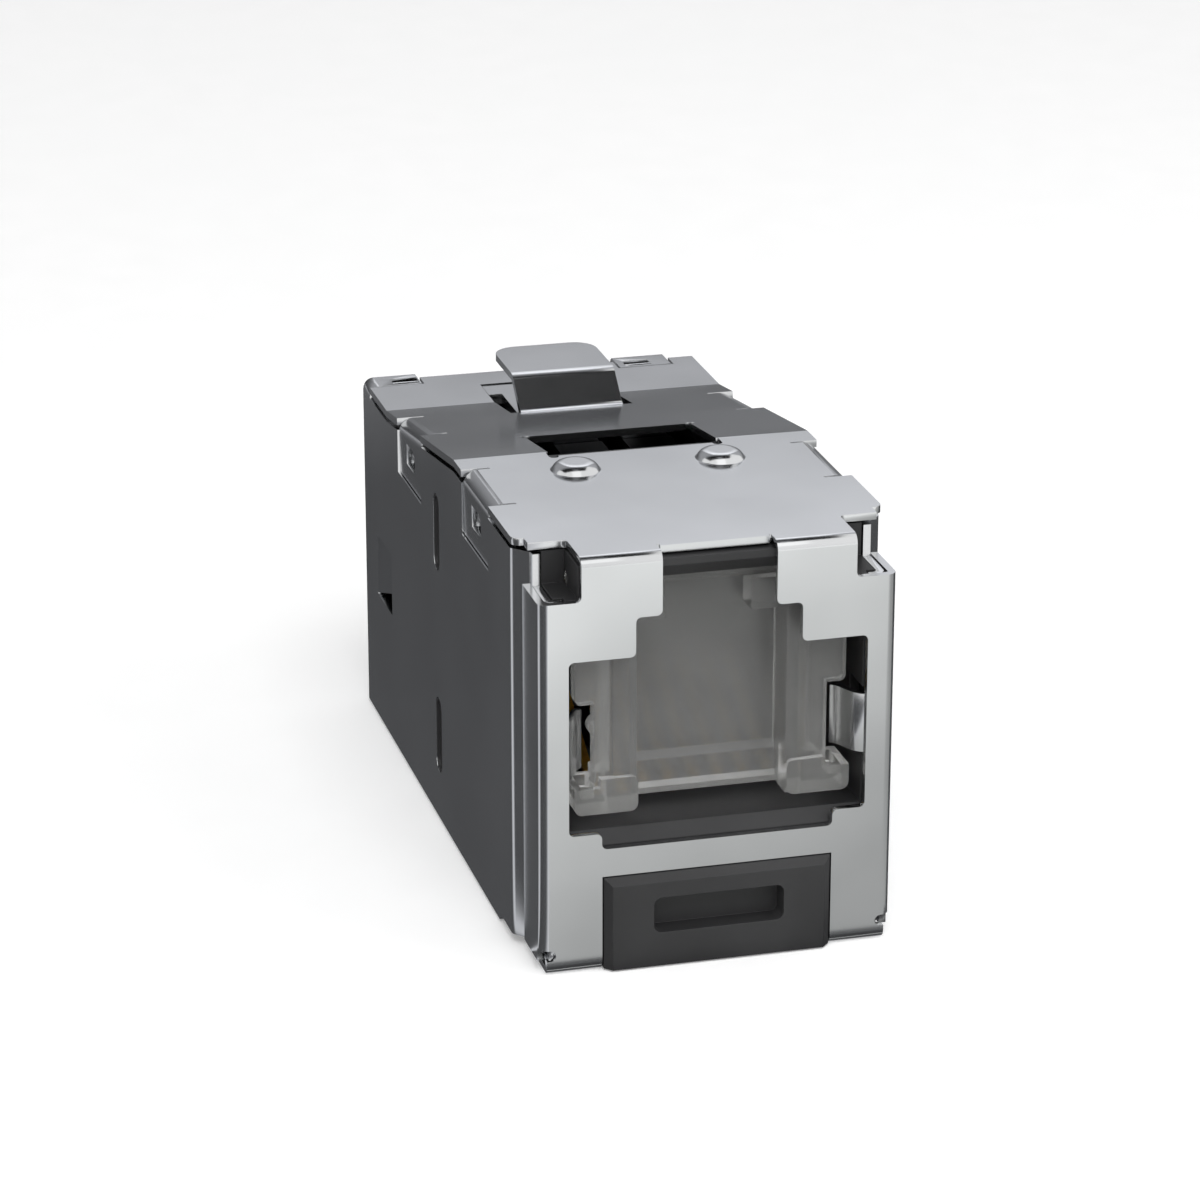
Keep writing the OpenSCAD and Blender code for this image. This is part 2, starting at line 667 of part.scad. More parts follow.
module rear_shell() color(steel) {
    plan = concat(shell_half(), reversed(mirrored(shell_half())));
    difference() {
        intersection() {
            union() {
                linear_extrude(body_h) strip(plan, sheet_t, bend_m);
                both() for (y = [tab_front_y, tab_rear_y]) tab_space(y, sheet_t);
            }
            under_plate();
        }
        both() {
            span([opening_w / 2, -over, shoulder_z - fit_gap], [body_w, ear_y + fit_gap, body_h + 1]);
            for (y = [tab_front_y, tab_rear_y]) tab_space(y, 0);
            for (z = [side_slot_low, side_slot_high]) translate([panel_x, side_slot_y, z]) rotate([90, 0, 90])
                linear_extrude(2, center = true) stadium(side_slot_w, side_slot_l);
            span([panel_x - 1, lance_y - lance_l, lance_z - lance_h / 2],
                [panel_x + 1, lance_y, lance_z + lance_h / 2]);
        }
        translate([0, body_d, cable_z]) rotate([90, 0, 0]) cylinder(d = cable_d + 0.8, h = 2, center = true);
    }
    both() {
        for (y = [tab_front_y, tab_rear_y]) tab_catch(y);
        ground_finger();
        lance();
    }
    left_tab();
    right_tab();
    latch_rest();
}

module socket_housing() color(black) {
    x = opening_w / 2 + fit_gap;
    difference() {
        union() {
            span([-core_x, face_y, base_z], [core_x, housing_d, roof_z - fit_gap]);
            span([-inner_x, jog_y + panel_x - joggle_x + 0.3, base_z],
                [inner_x, housing_d, body_h - tab_h - sheet_t - 3 * fit_gap]);
            intersection() {
                linear_extrude(key_h) polygon([[-key_w / 2, face_y + 0.1],
                    [-key_w / 2, key_chamfer - key_proud], [-key_w / 2 + key_chamfer, -key_proud],
                    [key_w / 2 - key_chamfer, -key_proud], [key_w / 2, key_chamfer - key_proud],
                    [key_w / 2, face_y + 0.1]]);
                across(key_w) polygon([[face_y + 0.1, fit_gap], [-key_proud, fit_gap],
                    [-key_proud, key_h - key_chamfer], [key_chamfer - key_proud, key_h],
                    [face_y + 0.1, key_h]]);
            }
            span([-key_w / 2, face_y, fit_gap], [key_w / 2, ear_y - fit_gap, base_z + 0.1]);
        }
        span([-x, -over, floor_z], [x, cavity_d, hinge_z - wing_drop + 0.2]);
        span([-ear_in, -over, floor_z], [ear_in, cavity_d - 0.2, lintel_z]);
        span([-ear_in, lintel_d, floor_z], [ear_in, cavity_d - 0.2, body_h + 1]);
        span([-x, hinge_y + pin_d, floor_z], [x, cavity_d - 0.2, body_h + 1]);
        across(2 * x) polygon([[-1, floor_z + 0.01], [-1, floor_z - 0.5], [face_y, floor_z - 0.5],
            [face_y + 0.45, floor_z], [face_y + 0.45, floor_z + 0.01]]);
        both() {
            span([ear_in + ear_t, -over, shoulder_z], [body_w, hinge_y + 0.1, body_h + 1]);
            span([joggle_x - 0.7 - fit_gap, -over, base_z - 0.1],
                [body_w, face_y + sheet_t + fit_gap, body_h + 1]);
            span([x - 0.1, -over, finger_z - 0.2], [body_w, flange_y + 1.8, finger_z + finger_h + 0.2]);
        }
        span([-bed_w / 2, contact_bed, bed_z], [bed_w / 2, housing_d + 1, floor_z + 0.1]);
        translate([0, hinge_y, hinge_z]) rotate([0, 90, 0])
            cylinder(d = pin_d + 2 * pin_gap, h = 2 * (ear_in + ear_t), center = true);
        across(2 * ear_in) polygon([[-1, floor_z], [-1, lintel_z + lintel_chamfer],
            [face_y, lintel_z + lintel_chamfer], [face_y + lintel_chamfer, lintel_z],
            [face_y + lintel_chamfer, floor_z]]);
        across(body_w) polygon([[flat_d - bend_r, roof_z - fit_gap], [slope_y, under_z - fit_gap],
            [slope_y, body_h + 1], [flat_d - bend_r, body_h + 1]]);
        back_from(-over, over - key_proud + key_slot_d) translate([0, key_slot_z])
            round_rect([-key_slot_w / 2, -key_slot_h / 2], [key_slot_w / 2, key_slot_h / 2], 0.3);
    }
}

// Front outline of one post's flange: narrow part and wing
module flange_outline() difference() {
    from = recess_w / 2;
    union() {
        translate([from, foot_z]) square([waist_w / 2 - from, hinge_z - wing_drop - foot_z]);
        translate([from, wing_z]) square([wing_w / 2 - from, hinge_z - wing_drop - wing_z]);
    }
    round_off([wing_w / 2, wing_z], wing_r, 1, 0);
}

module dust_shutter() color(frost) {
    inner = recess_w / 2;
    sill_y = web_y - web_t - sill_t;
    translate([0, hinge_y, hinge_z]) rotate([0, 90, 0]) {
        cylinder(d = barrel_d, h = 2 * (ear_in - 2 * fit_gap), center = true);
        cylinder(d = pin_d, h = 2 * (ear_in + ear_t - fit_gap), center = true);
    }
    span([-inner - fit_gap, web_y - web_t, foot_z], [inner + fit_gap, web_y, hinge_z]);
    across(2 * inner + fit_gap) polygon([[web_y, foot_z], [sill_y - lip_t, foot_z],
        [sill_y - lip_t, foot_z + 1.5 * lip_t], [sill_y, foot_z + 2.7 * lip_t],
        [sill_y, foot_z + foot_h - sill_t * 0.35],
        [sill_y + sill_t, foot_z + foot_h + sill_t * 0.65], [web_y, foot_z + foot_h + sill_t * 0.65]]);
    both() {
        span([inner, post_y, foot_z], [inner + post_w, web_y, hinge_z - barrel_d * 0.35]);
        back_from(post_y + flange_set, flange_t) flange_outline();
        translate([0, 0, hinge_z - barrel_d * 0.45 - lug_h])
            span([inner - lug_w, post_y + lug_set, 0], [inner + fit_gap, web_y, lug_h]);
        difference() {
            back_from(foot_y, foot_d) round_rect([inner, foot_z], [feet_w / 2, foot_z + foot_h], foot_r);
            span([waist_w / 2 + fit_gap, foot_y + foot_wall, foot_z + 2 * foot_wall],
                [feet_w / 2 - foot_wall, foot_y + foot_d - foot_wall, foot_z + foot_h + over]);
            span([waist_w / 2 - foot_wall / 2, -over, foot_z + foot_h - foot_drop],
                [body_w, web_y + over, foot_z + foot_h + over]);
        }
    }
    translate([nub_r - nub_out - waist_w / 2, post_y + flange_set + flange_t, nub_z]) rotate([90, 0, 0])
        cylinder(r = nub_r, h = flange_t * 0.8);
}

// Closing spring: coil around the barrel, one leg behind the wing, one against the lintel
module shutter_spring() color(tin) translate([coil_x, hinge_y, hinge_z]) {
    leg_y = post_y + flange_set + flange_t + spring_wire / 2 + fit_gap - hinge_y;
    rotate([0, 90, 0]) rotate_extrude() {
        for (i = [1 : coil_n]) translate([coil_r, (i - (coil_n + 1) / 2) * spring_wire])
            circle(d = spring_wire);
        translate([coil_r - spring_wire / 4, spring_wire / 2 - coil_w / 2])
            square([spring_wire / 2, coil_w - spring_wire]);
    }
    translate([(coil_w - spring_wire) / 2, 0, 0]) across(spring_wire * 0.9)
        strip([[leg_y, -sqrt(coil_r * coil_r - leg_y * leg_y)], [leg_y, -wing_drop - coil_w]],
            spring_wire * 0.8, 0.2);
    translate([(spring_wire - coil_w) / 2, 0, 0]) across(spring_wire * 0.9)
        strip([[-coil_r * 0.6, coil_r * 0.8], [lintel_d - hinge_y + fit_gap, coil_r]],
            spring_wire * 0.8, 0.2);
}

module contact_comb() color(black) {
    y0 = contact_bed + fit_gap;
    difference() {
        span([-bed_w / 2 + fit_gap, y0, bed_z + fit_gap], [bed_w / 2 - fit_gap, housing_d, floor_z - 0.1]);
        for (i = [1 : 8]) span([contact_x(i) - contact_w / 2 - fit_gap, y0 + 0.25, contact_z - contact_t / 2],
            [contact_x(i) + contact_w / 2 + fit_gap, housing_d + 1, floor_z + 1]);
    }
}

function contact_x(i) = (i - 4.5) * pitch;

// Middle line of a contact: tail in the board, lower run, fold at the front, rising arm
function contact_path() =
    let (r = 0.45,
        lead = r * tan((180 - contact_a) / 2),
        v = contact_bed + 0.25 + fit_gap * 2 + contact_t / 2 + r - lead)
    [[board_y + board_t + 0.3, contact_z], [v, contact_z],
        [contact_end_y, contact_z + (contact_end_y - v) * tan(contact_a)]];

module contact(i) color(gold) translate([contact_x(i), 0, 0]) across(contact_w)
    strip(contact_path(), contact_t, 0.45);

function idc_x(i) = ((i - 1) % 4 - 1.5) * idc_pitch;
function idc_z(i) = i > 4 ? idc_high : idc_low;

module circuit_board() color(board) difference() {
    span([-block_x, board_y, block_z], [block_x, board_y + board_t, block_top]);
    for (i = [1 : 8]) {
        translate([contact_x(i), board_y, contact_z]) rotate([90, 0, 0])
            cylinder(d = contact_w + 0.16, h = over, center = true);
        translate([idc_x(i), board_y, idc_z(i)]) rotate([90, 0, 0])
            cylinder(d = idc_t * 1.8, h = over, center = true);
    }
}

// Forked terminal blade with its pin through the board
module idc(i) color(tin) translate([idc_x(i), block_y, idc_z(i) - idc_t / 2])
    linear_extrude(idc_t) difference() {
        union() {
            translate([-idc_w / 2, 0.6]) square([idc_w, idc_l - 0.6]);
            translate([-idc_t / 2, -board_t - fit_gap]) square([idc_t, board_t + 1]);
        }
        translate([-0.15, idc_l * 0.4]) square([0.3, idc_l]);
        translate([0, idc_l]) rotate(45) square(0.7, center = true);
    }

// Studs on the terminal block that fill the long slots of the side panels
module slot_stud() for (z = [side_slot_low, side_slot_high]) {
    w = side_slot_w - 2 * stud_gap;
    l = side_slot_l - 2 * stud_gap;
    top = panel_x - stud_gap / 2;
    translate([0, side_slot_y, z]) rotate([90, 0, 90]) difference() {
        translate([0, 0, block_x - 0.5]) linear_extrude(top - block_x + 0.5) stadium(w, l);
        translate([0, 0, top - stud_hollow]) linear_extrude(1)
            stadium(w - 2 * stud_rim, l - 2 * stud_rim);
    }
}

module idc_block() color(black) {
    terminal_body();
    both() slot_stud();
}

module terminal_body() difference() {
    span([-block_x, block_y, block_z], [block_x, block_y + block_d, block_top]);
    for (i = [1 : 8]) {
        span([idc_x(i) - idc_w / 2 - fit_gap, block_y - 1, idc_z(i) - idc_t / 2 - fit_gap],
            [idc_x(i) + idc_w / 2 + fit_gap, block_y + block_d + 1, idc_z(i) + idc_t / 2 + fit_gap]);
        span([idc_x(i) - 0.45, block_y + idc_l * 0.5, i > 4 ? idc_high - 1 : -1],
            [idc_x(i) + 0.45, block_y + block_d + 1, i > 4 ? body_h : idc_low + 1]);
    }
    span([-bed_w / 2, block_y - 1, contact_z - contact_w * 2],
        [bed_w / 2, block_y + 0.5, contact_z + contact_w * 2]);
}

module wire_cap() color(black) difference() {
    span([-block_x, cap_y, block_z], [block_x, cap_end, block_top]);
    translate([0, body_d, cable_z]) rotate([90, 0, 0])
        cylinder(d = cable_d, h = 2 * (body_d - cap_y - cap_floor), center = true);
    for (i = [1 : 8]) span([idc_x(i) - 0.5, cap_y - 1, i > 4 ? idc_high - 1 : -1],
        [idc_x(i) + 0.5, cap_y + cap_floor - fit_gap, i > 4 ? body_h : idc_low + 1]);
}

// Place in the frame: middle of the depth at the origin, bottom plate on the ground
module seat() translate([0, seat_y, 0]) children();

seat() front_cover();
seat() rear_shell();
seat() socket_housing();
seat() dust_shutter();
seat() shutter_spring();
seat() contact_comb();
seat() contact(1);  // contact_1
seat() contact(2);  // contact_2
seat() contact(3);  // contact_3
seat() contact(4);  // contact_4
seat() contact(5);  // contact_5
seat() contact(6);  // contact_6
seat() contact(7);  // contact_7
seat() contact(8);  // contact_8
seat() circuit_board();
seat() idc_block();
seat() idc(1);  // idc_1
seat() idc(2);  // idc_2
seat() idc(3);  // idc_3
seat() idc(4);  // idc_4
seat() idc(5);  // idc_5
seat() idc(6);  // idc_6
seat() idc(7);  // idc_7
seat() idc(8);  // idc_8
seat() wire_cap();
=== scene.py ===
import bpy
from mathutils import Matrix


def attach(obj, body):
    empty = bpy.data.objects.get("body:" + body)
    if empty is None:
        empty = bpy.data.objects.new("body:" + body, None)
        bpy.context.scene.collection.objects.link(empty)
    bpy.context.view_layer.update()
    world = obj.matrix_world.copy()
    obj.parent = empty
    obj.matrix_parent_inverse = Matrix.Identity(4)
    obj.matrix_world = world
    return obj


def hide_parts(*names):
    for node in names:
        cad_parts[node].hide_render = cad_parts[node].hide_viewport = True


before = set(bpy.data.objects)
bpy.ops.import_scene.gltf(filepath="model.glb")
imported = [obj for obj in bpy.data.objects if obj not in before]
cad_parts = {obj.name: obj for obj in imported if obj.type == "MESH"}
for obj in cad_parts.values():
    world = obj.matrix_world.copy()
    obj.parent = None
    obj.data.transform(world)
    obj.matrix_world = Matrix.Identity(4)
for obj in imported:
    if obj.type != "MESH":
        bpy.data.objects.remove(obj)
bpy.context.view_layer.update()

import math
import bpy
from mathutils import Vector

mm = 0.001
print("stage: frame loaded,", len(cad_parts), "nodes")


# camera, as the photograph was taken

view = {
    "place": (-44.28, -163.88, 72.17),     # mm, where the lens stands
    "forward": (0.24113, 0.90641, -0.34681),
    "focal": 131.84,                       # mm
    "sensor": 36,                          # mm, square
    "near": 0.005, "far": 20,              # m, the lens sees what is between
}


def setCamera(settings):
    data = bpy.data.cameras.new("photoCamera")
    data.lens = settings["focal"]
    data.sensor_width = settings["sensor"]
    data.sensor_fit = "HORIZONTAL"
    data.clip_start = settings["near"]
    data.clip_end = settings["far"]
    camera = bpy.data.objects.new("photoCamera", data)
    bpy.context.scene.collection.objects.link(camera)
    camera.location = Vector(settings["place"]) * mm
    camera.rotation_euler = Vector(settings["forward"]).to_track_quat("-Z", "Y").to_euler()
    bpy.context.scene.camera = camera


setCamera(view)
print("stage: camera set")


# colours and node links

def toLinear(hexText):
    parts = [int(hexText[i:i + 2], 16) / 255 for i in (1, 3, 5)]
    linear = [c / 12.92 if c <= 0.04045 else ((c + 0.055) / 1.055) ** 2.4 for c in parts]
    return (*linear, 1.0)


def addNode(tree, kind, settings=None, **links):
    node = tree.nodes.new(kind)
    for key, value in (settings or {}).items():
        if key in node.inputs.keys():
            node.inputs[key].default_value = value
        else:
            setattr(node, key, value)
    for key, source in links.items():
        tree.links.new(source, node.inputs[key.replace("_", " ")])
    return node


def startMaterial(name):
    material = bpy.data.materials.new(name)
    material.use_nodes = True
    tree = material.node_tree
    return material, tree, tree.nodes["Principled BSDF"]


def setColourRamp(ramp, stops):
    elements = ramp.color_ramp.elements
    while len(elements) > 1:
        elements.remove(elements[-1])
    for index, (place, colour) in enumerate(stops):
        element = elements[0] if index == 0 else elements.new(place)
        element.position = place
        element.color = colour


bumpDepth = 0.02                           # mm, depth of every fine grain


def dressShader(tree, shader, settings, pattern, spread, relief=None):
    tone = addNode(tree, "ShaderNodeValToRGB", Fac=pattern)
    setColourRamp(tone, [(at, toLinear(colour)) for at, colour in zip(spread, settings["colour"])])
    low, high = settings["rough"]
    gloss = addNode(tree, "ShaderNodeMapRange", {"To Min": low, "To Max": high}, Value=pattern)
    tree.links.new(tone.outputs["Color"], shader.inputs["Base Color"])
    tree.links.new(gloss.outputs["Result"], shader.inputs["Roughness"])
    if relief:
        grain = addNode(tree, "ShaderNodeBump",
                        {"Strength": settings["bump"], "Distance": bumpDepth * mm}, Height=relief)
        tree.links.new(grain.outputs["Normal"], shader.inputs["Normal"])


# nickel-plated steel sheet: rolled strip, so faint lines run along the fold, satin mirror on top
platedSheet = {
    "colour": ("#d3d4d5", "#dfe0e1"),      # cloudy plating, hardly any colour
    "rough": (0.15, 0.21),
    "rollLine": 0.35,                      # mm between rolling lines, drawn coarser than the real 0.05
    "stretch": 0.02,                       # width of a rolling line as a share of its length
    "cloud": 6.0,                          # mm, size of the plating's clouds
    "bump": 0.035,
}


def makePlatedSheet(settings):
    material, tree, shader = startMaterial("nickelPlatedSteel")
    place = addNode(tree, "ShaderNodeTexCoord").outputs["Object"]
    stretch = addNode(tree, "ShaderNodeMapping", {"Scale": (1, settings["stretch"], 1)}, Vector=place)
    lines = addNode(tree, "ShaderNodeTexNoise",
                    {"Scale": 1 / (settings["rollLine"] * mm), "Detail": 3.0},
                    Vector=stretch.outputs["Vector"])
    clouds = addNode(tree, "ShaderNodeTexNoise",
                     {"Scale": 1 / (settings["cloud"] * mm), "Detail": 2.0}, Vector=place)
    dressShader(tree, shader, settings, clouds.outputs["Fac"], (0.3, 0.7), lines.outputs["Fac"])
    shader.inputs["Metallic"].default_value = 1.0
    return material


# black glass-filled nylon: spark-eroded mould, fine matt grain with a soft shine
blackNylon = {
    "colour": ("#242425", "#2d2d2e"),
    "rough": (0.48, 0.6),
    "ior": 1.53,
    "grain": 0.12,                         # mm, mould grain drawn coarser than the real 0.03
    "flow": 4.0,                           # mm, size of the resin's flow marks
    "bump": 0.12,
}


def makeBlackNylon(settings):
    material, tree, shader = startMaterial("blackNylon")
    place = addNode(tree, "ShaderNodeTexCoord").outputs["Object"]
    grit = addNode(tree, "ShaderNodeTexNoise",
                   {"Scale": 1 / (settings["grain"] * mm), "Detail": 2.0}, Vector=place)
    flow = addNode(tree, "ShaderNodeTexNoise",
                   {"Scale": 1 / (settings["flow"] * mm), "Detail": 2.0}, Vector=place)
    dressShader(tree, shader, settings, flow.outputs["Fac"], (0.35, 0.65), grit.outputs["Fac"])
    shader.inputs["IOR"].default_value = settings["ior"]
    return material


# natural polycarbonate: clear resin with a frosted mould face, smoky where the dark socket shows through
frostedResin = {
    "colour": ("#c2c2c0", "#cfcfcd"),
    "rough": (0.23, 0.28),
    "ior": 1.5,
    "clear": 0.88,
    "grain": 0.15,                         # mm, frosting drawn coarser than the real 0.04
    "flow": 2.5,                           # mm, size of the resin's flow marks
    "bump": 0.03,
}


def makeFrostedResin(settings):
    material, tree, shader = startMaterial("frostedPolycarbonate")
    place = addNode(tree, "ShaderNodeTexCoord").outputs["Object"]
    grit = addNode(tree, "ShaderNodeTexNoise",
                   {"Scale": 1 / (settings["grain"] * mm), "Detail": 2.0}, Vector=place)
    flow = addNode(tree, "ShaderNodeTexNoise",
                   {"Scale": 1 / (settings["flow"] * mm), "Detail": 2.0}, Vector=place)
    dressShader(tree, shader, settings, flow.outputs["Fac"], (0.3, 0.7), grit.outputs["Fac"])
    shader.inputs["IOR"].default_value = settings["ior"]
    shader.inputs["Transmission Weight"].default_value = settings["clear"]
    return material


# metals of the small parts, with the size of their streaks in mm: stamped bronze under a gold flash
# looks warm and satin, drawn spring wire grey and brighter, and tinned bronze pale and soft
smallMetals = {
    "goldFlashedBronze": {"colour": ("#c4952f", "#d8ab48"), "rough": (0.36, 0.46), "streak": 0.4},
    "springSteelWire": {"colour": ("#a9abad", "#bfc1c3"), "rough": (0.22, 0.34), "streak": 0.3},
    "tinnedBronze": {"colour": ("#bdbcb6", "#d0cfc9"), "rough": (0.3, 0.45), "streak": 0.6},
}


def makeSmallMetal(name, settings):
    material, tree, shader = startMaterial(name)
    place = addNode(tree, "ShaderNodeTexCoord").outputs["Object"]
    streaks = addNode(tree, "ShaderNodeTexNoise",
                      {"Scale": 1 / (settings["streak"] * mm), "Detail": 3.0}, Vector=place)
    dressShader(tree, shader, settings, streaks.outputs["Fac"], (0.3, 0.7))
    shader.inputs["Metallic"].default_value = 1.0
    return material


# glass-epoxy board under green solder resist: weave of 0.5 mm shows faintly through the varnish
boardResist = {"colour": ("#12452a", "#1a5a37"), "weave": 0.5, "rough": (0.25, 0.4), "bump": 0.15}


def makeBoardResist(settings):
    material, tree, shader = startMaterial("greenSolderResist")
    place = addNode(tree, "ShaderNodeTexCoord").outputs["Object"]
    weave = addNode(tree, "ShaderNodeTexVoronoi", {"Scale": 1 / (settings["weave"] * mm)}, Vector=place)
    dressShader(tree, shader, settings, weave.outputs["Distance"], (0.1, 0.8), weave.outputs["Distance"])
    return material


finishes = {
    "plated": makePlatedSheet(platedSheet),
    "nylon": makeBlackNylon(blackNylon),
    "resin": makeFrostedResin(frostedResin),
    "board": makeBoardResist(boardResist),
}
for metalName, metalSettings in smallMetals.items():
    finishes[metalName] = makeSmallMetal(metalName, metalSettings)
print("stage: materials made,", len(finishes))


# inner pieces keep their CAD shape and get a finish

def finishNode(nodeName, material):
    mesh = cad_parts[nodeName].data
    mesh.materials.clear()
    mesh.materials.append(material)


innerFinish = {"contact_comb": "nylon", "circuit_board": "board", "shutter_spring": "springSteelWire"}
ways = 8                                   # contacts, each with its terminal
for number in range(1, ways + 1):
    innerFinish["contact_%d" % number] = "goldFlashedBronze"
    innerFinish["idc_%d" % number] = "tinnedBronze"
for nodeName, finishName in innerFinish.items():
    finishNode(nodeName, finishes[finishName])
print("stage: inner pieces finished,", len(innerFinish))


# round dimples pressed up from the top plate, drawn smooth
dimple = {
    "places": ((-2.97, -4.85), (2.97, -4.85)),    # mm, where the two stand
    "plate": 16.9,                         # mm, height of the plate
    "radius": 1.03,                        # the CAD one, cleared away
    "around": 0.02, "above": 0.001,        # how far round it, and how far off the plate
    "flat": 0.5, "shoulder": 0.5,          # flat top and the bend beside it
    "flank": 0.087, "foot": 0.06,          # slope, and the bend into the plate
    "slope": 60,                           # degrees
    "sink": 0.1,                           # how far the dome reaches into the plate
    "topRing": 0.95,                       # share of the flat, a narrow ring that keeps it flat
    "steps": 8, "sides": 72,
}

# how the copies are merged and shaded
shading = {
    "merge": 0.0005,                       # mm, corners of loose CAD triangles this near are one
    "level": 0.5,                          # degrees, faces closer than this are one flat face
    "smooth": 35,                          # degrees, sharper edges stay hard
    "widePanel": 4,                        # mm2, flat faces above this keep one normal
    "samePlane": 0.001,                    # mm, a sliver this near a panel's plane goes with it
    "sameFacing": 0.99999,                 # and faces the same way
}

# visible pieces: a copy of the CAD node with its edges broken
# width is the most that is asked for: where a mesh has very short edges, as on the two sheets and
# the shutter, Blender's overlap limit leaves these edges all but sharp

brokenEdges = {
    "front_cover": {"piece": "coverSheet", "body": "jack", "slot": "plated_sheet", "finish": "plated",
                    "width": 0.025, "steps": 2, "angle": 40, "dimple": dimple},
    "rear_shell": {"piece": "shellSheet", "body": "jack", "slot": "plated_sheet", "finish": "plated",
                   "width": 0.025, "steps": 2, "angle": 40},
    "socket_housing": {"piece": "socketMoulding", "body": "jack", "slot": "black_plastic",
                       "finish": "nylon", "width": 0.07, "steps": 3, "angle": 32},
    "dust_shutter": {"piece": "shutterMoulding", "body": "shutter", "slot": "frosted_plastic",
                     "finish": "resin", "width": 0.03, "steps": 2, "angle": 32, "clear": True},
    "idc_block": {"piece": "terminalMoulding", "body": "jack", "slot": "black_plastic",
                  "finish": "nylon", "width": 0.06, "steps": 2, "angle": 32},
    "wire_cap": {"piece": "capMoulding", "body": "jack", "slot": "black_plastic", "finish": "nylon",
                 "width": 0.1, "steps": 2, "angle": 32},
}


def clearDimples(piece, settings):
    reach = (settings["radius"] + settings["around"]) * mm
    level = (settings["plate"] + settings["above"]) * mm
    bpy.ops.object.mode_set(mode="EDIT")
    bpy.ops.mesh.select_mode(type="FACE")
    bpy.ops.mesh.select_all(action="DESELECT")
    bpy.ops.object.mode_set(mode="OBJECT")
    for face in piece.data.polygons:
        near = min((face.center.xy - Vector(place) * mm).length for place in settings["places"])
        face.select = near < reach and face.center.z > level
    bpy.ops.object.mode_set(mode="EDIT")
    bpy.ops.mesh.delete(type="FACE")
    bpy.ops.mesh.select_mode(type="EDGE")
    bpy.ops.mesh.select_all(action="SELECT")
    bpy.ops.mesh.fill_holes(sides=0)
    bpy.ops.object.mode_set(mode="OBJECT")


def domeRings(settings):
    steps, slope = settings["steps"], math.radians(settings["slope"])
    flat, shoulder, foot = settings["flat"], settings["shoulder"], settings["foot"]
    outer = flat + (shoulder + foot) * math.sin(slope) + settings["flank"] * math.cos(slope)
    high = (shoulder + foot) * (1 - math.cos(slope)) + settings["flank"] * math.sin(slope)
    turns = [slope * i / steps for i in range(steps + 1)]
    rings = [(outer - foot * math.sin(t), foot * (1 - math.cos(t))) for t in turns]
    rings += [(flat + shoulder * math.sin(t), high - shoulder * (1 - math.cos(t)))
              for t in reversed(turns)]
    rings.append((flat * settings["topRing"], high))
    return rings


def pressDimple(place, settings):
    bpy.ops.object.select_all(action="DESELECT")
    rings = domeRings(settings)
    bpy.ops.mesh.primitive_circle_add(vertices=settings["sides"], radius=rings[0][0] * mm,
                                      fill_type="NGON", location=(0, 0, -settings["sink"] * mm))
    dome = bpy.context.object
    bpy.ops.object.mode_set(mode="EDIT")
    size, level = rings[0][0], -settings["sink"]
    for ringSize, ringLevel in rings:
        rise = (ringLevel - level) * mm
        bpy.ops.mesh.extrude_region_move(TRANSFORM_OT_translate={"value": (0, 0, rise)})
        bpy.ops.transform.resize(value=(ringSize / size, ringSize / size, 1), center_override=(0, 0, 0))
        size, level = ringSize, ringLevel
    bpy.ops.mesh.select_all(action="SELECT")
    bpy.ops.mesh.normals_make_consistent(inside=False)
    bpy.ops.object.mode_set(mode="OBJECT")
    dome.location = Vector((*place, settings["plate"] - settings["sink"])) * mm
    bpy.ops.object.transform_apply(location=True, rotation=True, scale=True)
    bpy.ops.object.shade_smooth_by_angle(angle=math.radians(shading["smooth"]))
    return dome


def copyNode(nodeName, pieceName):
    bpy.ops.object.select_all(action="DESELECT")
    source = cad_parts[nodeName]
    piece = bpy.data.objects.new(pieceName, source.data.copy())
    bpy.context.scene.collection.objects.link(piece)
    piece.data.name = pieceName
    piece.select_set(True)
    bpy.context.view_layer.objects.active = piece
    return piece


def flattenPanels(piece, settings):        # wide flat faces shade flat right up to slots and corners
    mesh = piece.data
    normals = [Vector(corner.vector) for corner in mesh.corner_normals]
    least = settings["widePanel"] * mm * mm
    panels = [(face.center.copy(), face.normal.copy()) for face in mesh.polygons if face.area > least]
    for face in mesh.polygons:
        for middle, facing in panels:      # slivers in a panel's plane go with it
            level = abs((face.center - middle).dot(facing)) < settings["samePlane"] * mm
            if level and face.normal.dot(facing) > settings["sameFacing"]:
                for corner in face.loop_indices:
                    normals[corner] = facing
                break
    mesh.normals_split_custom_set(normals)


